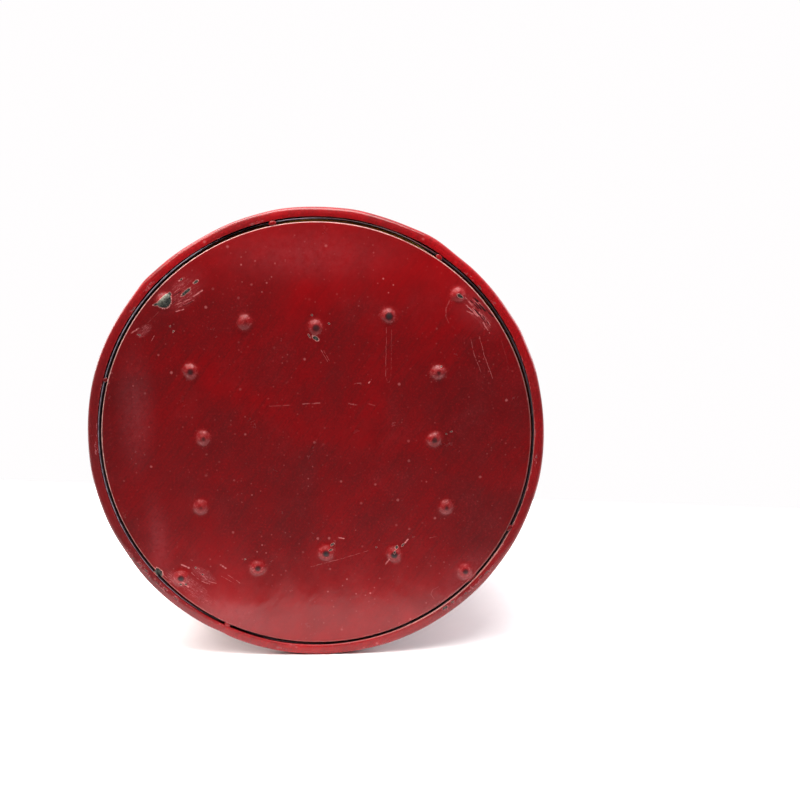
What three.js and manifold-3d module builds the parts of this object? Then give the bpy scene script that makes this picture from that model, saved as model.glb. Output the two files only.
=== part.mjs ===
// A sheet-metal tom tom drum, 12 by 8 inches, standing on its edge as it is stored.
//
// Millimetres, +Z up. The drum's axis runs along Y: the closed, riveted bottom end faces -Y and
// the playing head faces +Y. The drum stands on its two hoops at Z = 0. "Depth" below is the
// distance from the face of the bottom hoop towards the playing head. A clock angle runs
// clockwise from the top, as seen from the closed end.
//
// The large round pieces have FACETS flats. They are sized across the flats, and one flat is
// always at the bottom, so that the drum stands on real flats.

import * as THREE from 'three';
import * as BufferGeometryUtils from 'three/addons/utils/BufferGeometryUtils.js';
import Module from 'manifold-3d';

const wasm = await Module();
wasm.setup();

// ---------------------------------------------------------------- driving dimensions

const FACETS = 60;
const HOOP_RADIUS = 160;
const SHELL_RADIUS = 152.5;
const SHELL_WALL = 1.0;
const TOUCH_GAP = 0.3;              // left between pieces that touch

const SHELL_START = 1.5;            // depth of the shell's raw edge, inside the slot
const SHELL_END = 196.2;            // depth of the bearing edge under the skin
const EDGE_CHAMFER = 0.4;
const BEAD_DEPTH = 75;              // stiffening bead rolled into the shell
const BEAD_HALF_WIDTH = 4;
const BEAD_CREST_HALF_WIDTH = 1.4;
const BEAD_HEIGHT = 1.6;

const BOTTOM_HOOP_INNER = 153.1;
const BOTTOM_HOOP_LENGTH = 12;
const BOTTOM_HOOP_INNER_CHAMFER = 0.6;
const HOOP_CORNER = 3;              // rounding of the hoop's outer front corner

const PLATE_RADIUS = 150.4;
const PLATE_THICKNESS = 1.2;
const PLATE_CHAMFER = 0.6;
const PLATE_FLANGE_LENGTH = 8;

const RIVET_HEAD_RADIUS = 4.8;
const RIVET_HEAD_HEIGHT = 2.6;
const RIVET_SHANK_RADIUS = 2.2;
const RIVET_HOLE_RADIUS = 2.8;
const RIVET_TAIL_RADIUS = 3.6;
const RIVET_TAIL_HEIGHT = 1.8;
const RIVET_SIDES = 8;

const FRAME_THICKNESS = 3;
const FRAME_HALF_WIDTH = 8;

const SKIN_THICKNESS = 0.5;
const SKIN_COLLAR_WALL = 0.6;
const SKIN_COLLAR_LENGTH = 10;      // how far the skin turns down over the shell

const COUNTER_HOOP_WALL = 1.2;
const COUNTER_HOOP_LENGTH = 14.7;
const FLANGE_START = 190.3;
const FLANGE_THICKNESS = 1.8;
const LIP_WIDTH = 1.7;              // lip rolled out at the open end of the counter hoop
const LIP_THICKNESS = 1.8;
const FLESH_HOOP_HEIGHT = 5.5;
const FLESH_HOOP_WIDTH = 1.6;

const LUG_COUNT = 6;
const LUG_FIRST_ANGLE = 36;
const LUG_TUBE_RADIUS = 3.85;
const LUG_TUBE_END = 168;           // depth of the mouth that the rod goes into
const LUG_TUBE_LENGTH = 36;
const LUG_FOOT_WIDTH = 9;
const LUG_FOOT_LENGTH = 24;
const LUG_FOOT_TOP = 157.5;
const LUG_SCREW_RADIUS = 1.7;
const LUG_SCREW_END = 155.8;
const LUG_SCREW_HOLE_RADIUS = 2.1;
const LUG_SCREW_HEAD_RADIUS = 3.6;
const LUG_SCREW_HEAD_HEIGHT = 2.2;

const ROD_CIRCLE_RADIUS = 159.3;
const ROD_RADIUS = 2.5;             // M5 by 0.8
const ROD_LENGTH = 54;              // below the collar
const ROD_POINT = 0.8;
const ROD_COLLAR_RADIUS = 3.9;
const ROD_COLLAR_HEIGHT = 1.2;
const ROD_HEAD_ACROSS_FLATS = 5.8;
const ROD_HEAD_HEIGHT = 6;
const ROD_SIDES = 12;
const WASHER_RADIUS = 3.9;
const WASHER_THICKNESS = 1.0;
const EAR_RADIUS = 4.0;
const CLEARANCE_HOLE_RADIUS = 2.95; // in the ears, the washers and the lugs

const GROMMET_ANGLE = 66;
const GROMMET_DEPTH = 110;
const GROMMET_BORE_RADIUS = 3.6;
const GROMMET_BARREL_RADIUS = 4.6;
const GROMMET_FLANGE_RADIUS = 6.2;
const GROMMET_FLANGE_THICKNESS = 0.8;
const VENT_HOLE_RADIUS = 5;

// Welds across the slot were made by hand, so their clock angles follow no rule.
const TACK_WELD_ANGLES = [34, 116, 206, 230, 286, 349];
const TACK_WELD_HALF_SIZE = [2, 0.5, 1.05];   // along the slot, along the axis, across the slot
const TACK_WELD_DEPTH = 0.7;

// The strip behind the plate is a square whose sides bow inwards. Corners are [x, z] from the
// drum's axis, and each side runs clockwise from one to the next. "along" is each rivet's share
// of the side, and "inward" how far it strays from the strip's middle.
const FRAME_CORNERS = [[-103.7, 96.8], [98.1, 100.1], [104.4, -97.4], [-98.4, -100.3]];
const FRAME_SIDES = [
  { bow: 20.5, along: [0.27, 0.51, 0.76], inward: [0, 0, -1.5] },
  { bow: 19.5, along: [0.27, 0.51, 0.76], inward: [0, 0, -2] },
  { bow: 13.0, along: [0.25, 0.49, 0.73], inward: [4, 3, -4] },
  { bow: 21.5, along: [0.26, 0.51, 0.75], inward: [0.5, 0, -1] },
];
const FRAME_STEPS = 8;              // straight pieces in each bowed side

// ---------------------------------------------------------------- derived places

const SHELL_INNER = SHELL_RADIUS - SHELL_WALL;
const SKIN_TOP = SHELL_END + TOUCH_GAP + SKIN_THICKNESS;
const SKIN_INNER = SHELL_RADIUS + TOUCH_GAP;
const SKIN_OUTER = SKIN_INNER + SKIN_COLLAR_WALL;
const HEAD_HOOPS_INNER = SKIN_OUTER + TOUCH_GAP;
const FLANGE_END = FLANGE_START + FLANGE_THICKNESS;
const COUNTER_HOOP_END = FLANGE_START + COUNTER_HOOP_LENGTH;
const WASHER_START = FLANGE_END + TOUCH_GAP;
const ROD_COLLAR_START = WASHER_START + WASHER_THICKNESS + TOUCH_GAP;
const ROD_COLLAR_END = ROD_COLLAR_START + ROD_COLLAR_HEIGHT;
const LUG_MIDDLE = LUG_TUBE_END - LUG_TUBE_LENGTH / 2;
const FRAME_START = PLATE_THICKNESS + TOUCH_GAP;
const RIVET_TAIL_START = FRAME_START + FRAME_THICKNESS + TOUCH_GAP;
const RIVET_TIP = -TOUCH_GAP - RIVET_HEAD_HEIGHT;
const MID_DEPTH = (COUNTER_HOOP_END + RIVET_TIP) / 2;
const LUG_ANGLES = Array.from({ length: LUG_COUNT }, (_, i) => LUG_FIRST_ANGLE + (i * 360) / LUG_COUNT);

// ---------------------------------------------------------------- finishes

const finish = (color, roughness, metalness) => () => (
  new THREE.MeshStandardMaterial({ color, roughness, metalness })
);
const lacquer = finish(0x7d1420, 0.3, 0.2);
const chrome = finish(0xc4c7cb, 0.2, 1);
const bareSteel = finish(0x77787c, 0.5, 1);
const brass = finish(0xb08d4a, 0.35, 1);
const calfskin = finish(0xe6dcc6, 0.6, 0);

// ---------------------------------------------------------------- geometry helpers

const radians = (degrees) => (degrees * Math.PI) / 180;

// A solid of revolution about +Y from [radius, depth] points. Radii are across the flats, and
// one flat faces +Z.
function lathe(profile, sides = FACETS) {
  const toCorner = 1 / Math.cos(Math.PI / sides);
  const points = profile.map(([radius, depth]) => new THREE.Vector2(radius * toCorner, depth));
  return new THREE.LatheGeometry(points, sides, Math.PI / sides);
}

// A ring: its section is a loop of [radius, depth] corners, outer side first.
function ring(section, sides = FACETS) {
  return lathe([...section, section[0]], sides);
}

function cylinder(radius, start, end, sides) {
  return lathe([[0, start], [radius, start], [radius, end], [0, end]], sides);
}

function box(width, length, height) {
  return new THREE.BoxGeometry(width, length, height);
}

// Moves a shape drawn around +Y so that it stands radially out of the drum's top.
const stoodRadially = (geometry, depth) => geometry.rotateX(Math.PI / 2).translate(0, depth, 0);

// Carries a shape drawn at the drum's top round to a clock angle.
const turnedTo = (geometry, clockAngle) => geometry.rotateY(radians(clockAngle));

function toSolid(geometry) {
  const bare = geometry.clone();
  bare.deleteAttribute('normal');
  bare.deleteAttribute('uv');
  const merged = BufferGeometryUtils.mergeVertices(bare, 1e-4);
  const corners = Array.from(merged.index.array);
  const triangles = [];
  for (let i = 0; i < corners.length; i += 3) {
    const [a, b, c] = corners.slice(i, i + 3);
    if (a !== b && b !== c && c !== a) triangles.push(a, b, c);
  }
  return new wasm.Manifold(new wasm.Mesh({
    numProp: 3,
    vertProperties: new Float32Array(merged.attributes.position.array),
    triVerts: new Uint32Array(triangles),
  }));
}

function toGeometry(solid) {
  const mesh = solid.getMesh();
  const geometry = new THREE.BufferGeometry();
  geometry.setAttribute('position', new THREE.BufferAttribute(mesh.vertProperties, 3));
  geometry.setIndex(new THREE.BufferAttribute(mesh.triVerts, 1));
  geometry.computeVertexNormals();
  return geometry;
}

const joined = (pieces) => toGeometry(pieces.map(toSolid).reduce((a, b) => a.add(b)));
const cut = (piece, tools) => toGeometry(tools.map(toSolid).reduce((a, b) => a.subtract(b), toSolid(piece)));

// ---------------------------------------------------------------- shell and closed end

function shellGeometry() {
  const bead = (radius) => [
    [radius, BEAD_DEPTH - BEAD_HALF_WIDTH],
    [radius + BEAD_HEIGHT, BEAD_DEPTH - BEAD_CREST_HALF_WIDTH],
    [radius + BEAD_HEIGHT, BEAD_DEPTH + BEAD_CREST_HALF_WIDTH],
    [radius, BEAD_DEPTH + BEAD_HALF_WIDTH],
  ];
  const tube = ring([
    [SHELL_INNER, SHELL_START],
    [SHELL_RADIUS, SHELL_START],
    ...bead(SHELL_RADIUS),
    [SHELL_RADIUS, SHELL_END - EDGE_CHAMFER],
    [SHELL_RADIUS - EDGE_CHAMFER, SHELL_END],
    [SHELL_INNER, SHELL_END],
    ...bead(SHELL_INNER).reverse(),
  ]);
  const hole = (radius, depth, clockAngle) => {
    const drill = cylinder(radius, SHELL_RADIUS - 5, SHELL_RADIUS + 5, 8);
    return turnedTo(stoodRadially(drill, depth), clockAngle);
  };
  return cut(tube, [
    ...LUG_ANGLES.map((angle) => hole(LUG_SCREW_HOLE_RADIUS, LUG_MIDDLE, angle)),
    hole(VENT_HOLE_RADIUS, GROMMET_DEPTH, GROMMET_ANGLE),
  ]);
}

function bottomHoopGeometry() {
  const cornerInset = HOOP_CORNER * (1 - Math.SQRT1_2);
  return ring([
    [BOTTOM_HOOP_INNER, BOTTOM_HOOP_INNER_CHAMFER],
    [BOTTOM_HOOP_INNER + BOTTOM_HOOP_INNER_CHAMFER, 0],
    [HOOP_RADIUS - HOOP_CORNER, 0],
    [HOOP_RADIUS - cornerInset, cornerInset],
    [HOOP_RADIUS, HOOP_CORNER],
    [HOOP_RADIUS, BOTTOM_HOOP_LENGTH],
    [BOTTOM_HOOP_INNER, BOTTOM_HOOP_LENGTH],
  ]);
}

// A point on a bowed side of the strip, as [x, z]. Going clockwise, inwards is to the right.
function onSide(index, share, inward) {
  const [x0, z0] = FRAME_CORNERS[index];
  const [x1, z1] = FRAME_CORNERS[(index + 1) % FRAME_CORNERS.length];
  const chord = Math.hypot(x1 - x0, z1 - z0);
  const offset = FRAME_SIDES[index].bow * (1 - (2 * share - 1) ** 2) + inward;
  return [
    x0 + share * (x1 - x0) + (offset * (z1 - z0)) / chord,
    z0 + share * (z1 - z0) - (offset * (x1 - x0)) / chord,
  ];
}

// Each corner's rivet, then the three on the side that starts there.
const RIVET_PLACES = FRAME_SIDES.flatMap((side, i) => [
  FRAME_CORNERS[i],
  ...side.along.map((share, k) => onSide(i, share, side.inward[k])),
]);

const rivetHoles = () => RIVET_PLACES.map(([x, z]) => (
  cylinder(RIVET_HOLE_RADIUS, -1, RIVET_TAIL_START, RIVET_SIDES).translate(x, 0, z)
));

function bottomPlateGeometry() {
  const pan = lathe([
    [0, 0],
    [PLATE_RADIUS - PLATE_CHAMFER, 0],
    [PLATE_RADIUS, PLATE_CHAMFER],
    [PLATE_RADIUS, PLATE_FLANGE_LENGTH],
    [PLATE_RADIUS - PLATE_THICKNESS, PLATE_FLANGE_LENGTH],
    [PLATE_RADIUS - PLATE_THICKNESS, PLATE_THICKNESS],
    [0, PLATE_THICKNESS],
  ]);
  return cut(pan, rivetHoles());
}

function stiffenerGeometry() {
  // the inner edge leaves out each corner, where the two sides' inner edges would cross
  const edge = (inward, first, last) => FRAME_CORNERS.flatMap((_, i) => (
    Array.from({ length: last - first + 1 }, (__, k) => {
      const [x, z] = onSide(i, (first + k) / FRAME_STEPS, inward);
      return new THREE.Vector2(x, -z);
    })
  ));
  const outline = new THREE.Shape(edge(-FRAME_HALF_WIDTH, 0, FRAME_STEPS));
  outline.holes.push(new THREE.Path(edge(FRAME_HALF_WIDTH, 1, FRAME_STEPS - 1)));
  const strip = new THREE.ExtrudeGeometry(outline, { depth: FRAME_THICKNESS, bevelEnabled: false });
  return cut(strip.rotateX(-Math.PI / 2).translate(0, FRAME_START, 0), rivetHoles());
}

function rivetGeometry() {
  return lathe([
    [0, RIVET_TIP],
    [0.55 * RIVET_HEAD_RADIUS, RIVET_TIP + 0.18 * RIVET_HEAD_HEIGHT],
    [RIVET_HEAD_RADIUS, -TOUCH_GAP],
    [RIVET_SHANK_RADIUS, -TOUCH_GAP],
    [RIVET_SHANK_RADIUS, RIVET_TAIL_START],
    [RIVET_TAIL_RADIUS, RIVET_TAIL_START],
    [0, RIVET_TAIL_START + RIVET_TAIL_HEIGHT],
  ], RIVET_SIDES);
}

function tackWeldGeometry() {
  const slotMiddle = (PLATE_RADIUS + BOTTOM_HOOP_INNER) / 2;
  return new THREE.SphereGeometry(1, 8, 5)
    .scale(...TACK_WELD_HALF_SIZE)
    .translate(0, TACK_WELD_DEPTH, slotMiddle);
}

// ---------------------------------------------------------------- playing head

function skinGeometry() {
  return lathe([
    [0, SKIN_TOP - SKIN_THICKNESS],
    [SKIN_INNER - 0.5, SKIN_TOP - SKIN_THICKNESS],
    [SKIN_INNER, SKIN_TOP - SKIN_THICKNESS - 0.5],
    [SKIN_INNER, SKIN_TOP - SKIN_COLLAR_LENGTH],
    [SKIN_OUTER, SKIN_TOP - SKIN_COLLAR_LENGTH],
    [SKIN_OUTER, SKIN_TOP - 0.8],
    [SKIN_OUTER - 0.8, SKIN_TOP],
    [0, SKIN_TOP],
  ]);
}

function fleshHoopGeometry() {
  const end = FLANGE_START - TOUCH_GAP;
  return ring([
    [HEAD_HOOPS_INNER, end - FLESH_HOOP_HEIGHT],
    [HEAD_HOOPS_INNER + FLESH_HOOP_WIDTH, end - FLESH_HOOP_HEIGHT],
    [HEAD_HOOPS_INNER + FLESH_HOOP_WIDTH, end],
    [HEAD_HOOPS_INNER, end],
  ]);
}

function counterHoopGeometry() {
  const wall = HEAD_HOOPS_INNER + COUNTER_HOOP_WALL;
  const hoop = ring([
    [HEAD_HOOPS_INNER, FLANGE_START],
    [HOOP_RADIUS, FLANGE_START],
    [HOOP_RADIUS, FLANGE_END],
    [wall, FLANGE_END],
    [wall, COUNTER_HOOP_END - LIP_THICKNESS],
    [wall + LIP_WIDTH, COUNTER_HOOP_END - LIP_THICKNESS],
    [wall + LIP_WIDTH, COUNTER_HOOP_END],
    [HEAD_HOOPS_INNER, COUNTER_HOOP_END],
  ]);
  const atRod = (radius, start, end) => LUG_ANGLES.map((angle) => (
    turnedTo(cylinder(radius, start, end, ROD_SIDES).translate(0, 0, ROD_CIRCLE_RADIUS), angle)
  ));
  const withEars = joined([hoop, ...atRod(EAR_RADIUS, FLANGE_START, FLANGE_END)]);
  return cut(withEars, atRod(CLEARANCE_HOLE_RADIUS, FLANGE_START - 1, FLANGE_END + 1));
}

// ---------------------------------------------------------------- tension hardware

function tensionRodGeometry() {
  const tip = ROD_COLLAR_START - ROD_LENGTH;
  const shank = lathe([
    [0, tip],
    [ROD_RADIUS - ROD_POINT, tip],
    [ROD_RADIUS, tip + ROD_POINT],
    [ROD_RADIUS, ROD_COLLAR_START],
    [ROD_COLLAR_RADIUS, ROD_COLLAR_START],
    [ROD_COLLAR_RADIUS, ROD_COLLAR_END],
    [0, ROD_COLLAR_END],
  ], ROD_SIDES);
  const head = box(ROD_HEAD_ACROSS_FLATS, ROD_HEAD_HEIGHT + ROD_POINT, ROD_HEAD_ACROSS_FLATS);
  head.translate(0, ROD_COLLAR_END + (ROD_HEAD_HEIGHT - ROD_POINT) / 2, 0);
  return joined([shank, head]).translate(0, 0, ROD_CIRCLE_RADIUS);
}

function washerGeometry() {
  return ring([
    [CLEARANCE_HOLE_RADIUS, WASHER_START],
    [WASHER_RADIUS, WASHER_START],
    [WASHER_RADIUS, WASHER_START + WASHER_THICKNESS],
    [CLEARANCE_HOLE_RADIUS, WASHER_START + WASHER_THICKNESS],
  ], ROD_SIDES).translate(0, 0, ROD_CIRCLE_RADIUS);
}

function lugGeometry() {
  const start = LUG_TUBE_END - LUG_TUBE_LENGTH;
  const footBase = SHELL_RADIUS + TOUCH_GAP;
  const along = (radius, from, to) => cylinder(radius, from, to, ROD_SIDES).translate(0, 0, ROD_CIRCLE_RADIUS);
  const foot = box(LUG_FOOT_WIDTH, LUG_FOOT_LENGTH, LUG_FOOT_TOP - footBase)
    .translate(0, LUG_MIDDLE, (LUG_FOOT_TOP + footBase) / 2);
  const screwHole = cylinder(LUG_SCREW_HOLE_RADIUS, footBase - 1, LUG_FOOT_TOP, 8);
  return cut(joined([along(LUG_TUBE_RADIUS, start, LUG_TUBE_END), foot]), [
    along(CLEARANCE_HOLE_RADIUS, start - 1, LUG_TUBE_END + 1),
    stoodRadially(screwHole, LUG_MIDDLE),
  ]);
}

function lugScrewGeometry() {
  const underHead = SHELL_INNER - TOUCH_GAP;
  const screw = lathe([
    [0, underHead - LUG_SCREW_HEAD_HEIGHT],
    [0.7 * LUG_SCREW_HEAD_RADIUS, underHead - LUG_SCREW_HEAD_HEIGHT],
    [LUG_SCREW_HEAD_RADIUS, underHead - 0.5 * LUG_SCREW_HEAD_HEIGHT],
    [LUG_SCREW_HEAD_RADIUS, underHead],
    [LUG_SCREW_RADIUS, underHead],
    [LUG_SCREW_RADIUS, LUG_SCREW_END],
    [0, LUG_SCREW_END],
  ], 8);
  return stoodRadially(screw, LUG_MIDDLE);
}

function ventGrommetGeometry() {
  const inside = SHELL_INNER - TOUCH_GAP;
  const outside = SHELL_RADIUS + TOUCH_GAP;
  const eyelet = ring([
    [GROMMET_BORE_RADIUS, inside - GROMMET_FLANGE_THICKNESS],
    [GROMMET_FLANGE_RADIUS, inside - GROMMET_FLANGE_THICKNESS],
    [GROMMET_FLANGE_RADIUS, inside],
    [GROMMET_BARREL_RADIUS, inside],
    [GROMMET_BARREL_RADIUS, outside],
    [GROMMET_FLANGE_RADIUS, outside],
    [GROMMET_FLANGE_RADIUS, outside + GROMMET_FLANGE_THICKNESS],
    [GROMMET_BORE_RADIUS, outside + GROMMET_FLANGE_THICKNESS],
  ], 12);
  return stoodRadially(eyelet, GROMMET_DEPTH);
}

// ---------------------------------------------------------------- assembly

const drum = new THREE.Group();
drum.position.set(0, -MID_DEPTH, HOOP_RADIUS);

function add(name, geometry, material, { x = 0, z = 0, clockAngle = 0 } = {}) {
  const mesh = new THREE.Mesh(geometry, material());
  mesh.name = name;
  mesh.position.set(x, 0, z);
  mesh.rotation.y = radians(clockAngle);
  drum.add(mesh);
}

add('shell', shellGeometry(), lacquer);
add('bottom_hoop', bottomHoopGeometry(), lacquer);
add('bottom_plate', bottomPlateGeometry(), lacquer);
add('stiffener_frame', stiffenerGeometry(), bareSteel);
RIVET_PLACES.forEach(([x, z], i) => {
  add(`rivet_${String(i + 1).padStart(2, '0')}`, rivetGeometry(), lacquer, { x, z });
});
TACK_WELD_ANGLES.forEach((clockAngle, i) => {
  add(`tack_weld_${i + 1}`, tackWeldGeometry(), lacquer, { clockAngle });
});

add('drumhead_skin', skinGeometry(), calfskin);
add('flesh_hoop', fleshHoopGeometry(), bareSteel);
add('counter_hoop', counterHoopGeometry(), lacquer);
LUG_ANGLES.forEach((clockAngle, i) => {
  add(`tension_rod_${i + 1}`, tensionRodGeometry(), chrome, { clockAngle });
  add(`rod_washer_${i + 1}`, washerGeometry(), chrome, { clockAngle });
  add(`lug_${i + 1}`, lugGeometry(), chrome, { clockAngle });
  add(`lug_screw_${i + 1}`, lugScrewGeometry(), bareSteel, { clockAngle });
});
add('vent_grommet', ventGrommetGeometry(), brass, { clockAngle: GROMMET_ANGLE });

export default drum;
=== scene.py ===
"""A worn, red-lacquered sheet-metal tom tom drum standing on its edge, seen from its closed end."""
import math
import random

import bmesh
import bpy
from mathutils import Matrix, Vector, noise


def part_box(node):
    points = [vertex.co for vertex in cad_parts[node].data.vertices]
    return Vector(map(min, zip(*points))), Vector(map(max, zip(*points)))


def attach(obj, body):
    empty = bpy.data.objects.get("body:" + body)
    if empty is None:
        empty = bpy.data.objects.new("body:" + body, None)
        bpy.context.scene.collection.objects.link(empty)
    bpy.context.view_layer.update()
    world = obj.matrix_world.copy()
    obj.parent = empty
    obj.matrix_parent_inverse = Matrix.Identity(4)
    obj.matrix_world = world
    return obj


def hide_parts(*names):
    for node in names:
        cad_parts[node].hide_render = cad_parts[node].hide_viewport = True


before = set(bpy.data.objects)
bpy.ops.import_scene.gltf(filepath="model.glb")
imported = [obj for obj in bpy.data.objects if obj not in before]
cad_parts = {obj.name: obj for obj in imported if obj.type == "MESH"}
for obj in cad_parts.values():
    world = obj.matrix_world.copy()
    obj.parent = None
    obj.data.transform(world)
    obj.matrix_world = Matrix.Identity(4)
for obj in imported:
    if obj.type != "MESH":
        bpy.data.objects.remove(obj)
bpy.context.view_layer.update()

MM = 0.001
random.seed(7)

# ---------------------------------------------------------------- places, most of them read from the parts in model.glb


def in_mm(length):
    return round(length / MM, 3)


def centre_of(node):
    low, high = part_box(node)
    return (low + high) / 2


def outer_radius(node):
    low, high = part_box(node)
    return in_mm((high.z - low.z) / 2)


HOOP_LOW, HOOP_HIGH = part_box("bottom_hoop")
FACE_Y = HOOP_LOW.y                                # the face of the bottom hoop
AXIS_Z = (HOOP_LOW.z + HOOP_HIGH.z) / 2            # the drum's axis runs along Y at this height
RODS = sorted(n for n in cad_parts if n.startswith("tension_rod_"))
RIVETS = sorted(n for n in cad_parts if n.startswith("rivet_"))
WELDS = sorted(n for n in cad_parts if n.startswith("tack_weld_"))


def depth_of(y):
    """Millimetres behind the face of the bottom hoop."""
    return (y - FACE_Y) / MM


def from_axis(point):
    """(radius, clock angle in radians) of a point, clockwise from the top as seen from the closed end."""
    x, z = point.x, point.z - AXIS_Z
    return math.hypot(x, z), math.atan2(x, z)


# Radii and depths from here on are in mm, from the drum's axis and from the face of the bottom hoop.
HOOP_RIM = outer_radius("bottom_hoop")
HOOP_BORE = 153.1
PLATE_RIM = outer_radius("bottom_plate")
BEAD_HEIGHT = 1.6                                  # how far the shell's rolled bead stands out
SHELL_OUTSIDE = outer_radius("shell") - BEAD_HEIGHT
SHELL_INSIDE = SHELL_OUTSIDE - 1.0
SKIN_TOP = in_mm(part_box("drumhead_skin")[1].y - FACE_Y)
ROD_CIRCLE = in_mm(sum(from_axis(centre_of(n))[0] for n in RODS) / len(RODS))
ROD_CLOCKS = {n: from_axis(centre_of(n))[1] for n in RODS}


# ---------------------------------------------------------------- node trees in a few words

class Nodes:
    """Adds nodes to a node tree. Each method returns the socket that the next one takes."""

    def __init__(self, tree):
        self.nodes, self.links = tree.nodes, tree.links

    def put(self, value, socket):
        if isinstance(value, bpy.types.NodeSocket):
            self.links.new(value, socket)
        elif isinstance(value, (tuple, list)) and len(value) == 3 and socket.type == "RGBA":
            socket.default_value = (*value, 1)
        else:
            socket.default_value = value

    def outputs(self, kind, inputs=(), **settings):
        made = self.nodes.new(kind)
        for key, value in settings.items():
            setattr(made, key, value)
        for key, value in dict(inputs).items():
            self.put(value, made.inputs[key])
        return made.outputs

    def node(self, kind, inputs=(), output=0, **settings):
        return self.outputs(kind, inputs, **settings)[output]

    def position(self):
        return self.node("ShaderNodeTexCoord", output="Object")

    def attribute(self, name):
        return self.node("ShaderNodeAttribute", attribute_name=name, output="Fac")

    def math(self, operation, a, b=0.5, clamp=False):
        return self.node("ShaderNodeMath", {0: a, 1: b}, operation=operation, use_clamp=clamp)

    def rest_of(self, value):
        """One less the value, and never below 0."""
        return self.math("SUBTRACT", 1.0, value, True)

    def either(self, *masks):
        result = masks[0]
        for mask in masks[1:]:
            result = self.math("MAXIMUM", result, mask)
        return result

    def both(self, *masks):
        result = masks[0]
        for mask in masks[1:]:
            result = self.math("MULTIPLY", result, mask)
        return result

    def vector(self, operation, a, b=(0, 0, 0), output=0):
        return self.node("ShaderNodeVectorMath", {0: a, 1: b}, operation=operation, output=output)

    def dot(self, a, b):
        return self.vector("DOT_PRODUCT", a, b, output=1)

    def length(self, a):
        return self.vector("LENGTH", a, output=1)

    def stretched(self, vector, scale, turn=(0, 0, 0)):
        turned_vector = self.node("ShaderNodeMapping", {"Vector": vector, "Rotation": turn})
        return self.vector("MULTIPLY", turned_vector, scale)

    def noise(self, vector, scale, detail=4.0, roughness=0.55, distortion=0.0):
        return self.node("ShaderNodeTexNoise", {
            "Vector": vector, "Scale": scale, "Detail": detail, "Roughness": roughness,
            "Distortion": distortion})

    def remap(self, value, low, high, to_low=0.0, to_high=1.0):
        return self.node("ShaderNodeMapRange", {
            "Value": value, "From Min": low, "From Max": high, "To Min": to_low, "To Max": to_high},
            interpolation_type="SMOOTHSTEP")

    def mix(self, share, a, b):
        return self.node("ShaderNodeMix", {0: share, 6: a, 7: b}, output=2, data_type="RGBA")

    def bump(self, height, strength, distance, after=None):
        inputs = {"Height": height, "Strength": strength, "Distance": distance}
        if after is not None:
            inputs["Normal"] = after
        return self.node("ShaderNodeBump", inputs)


class Material(Nodes):
    """A new material's nodes, round its shader."""

    def __init__(self, name):
        self.material = bpy.data.materials.new(name)
        self.material.use_nodes = True
        super().__init__(self.material.node_tree)
        self.shader = self.nodes["Principled BSDF"]

    def finish(self, **inputs):
        for key, value in inputs.items():
            self.put(value, self.shader.inputs[key.replace("_", " ")])
        return self.material


class MarkGroup(Nodes):
    """A node group that works out one mark and passes on the deeper of it and the marks before it."""

    def __init__(self, name, vectors, numbers=()):
        self.tree = bpy.data.node_groups.new(name, "ShaderNodeTree")
        kinds = (("NodeSocketVector", ("Point", *vectors)), ("NodeSocketFloat", (*numbers, "Before")))
        for kind, names in kinds:
            for socket in names:
                self.tree.interface.new_socket(socket, in_out="INPUT", socket_type=kind)
        self.tree.interface.new_socket("Depth", in_out="OUTPUT", socket_type="NodeSocketFloat")
        self.tree.interface.new_socket("Point", in_out="OUTPUT", socket_type="NodeSocketVector")
        super().__init__(self.tree)
        self.given = self.nodes.new("NodeGroupInput").outputs

    def hand_on(self, depth):
        """The point is made to wait for the depth, so that marks are worked out one after another."""
        result = self.nodes.new("NodeGroupOutput")
        deepest = self.math("MAXIMUM", depth, self.given["Before"])
        hardly_any = (1e-6,) * 3
        after = self.node("ShaderNodeVectorMath", {0: deepest, 1: hardly_any, 2: self.given["Point"]},
                          operation="MULTIPLY_ADD")
        self.put(deepest, result.inputs["Depth"])
        self.put(after, result.inputs["Point"])
        return self.tree


def srgb(*display):
    """A colour given as 0 to 255 display values, as linear light."""
    return tuple((c / 255 / 12.92) if c < 10 else ((c / 255 + 0.055) / 1.055) ** 2.4 for c in display)


# ---------------------------------------------------------------- wear on the closed end
# Millimetres across and up from the drum's axis, as seen from the closed end.

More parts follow.
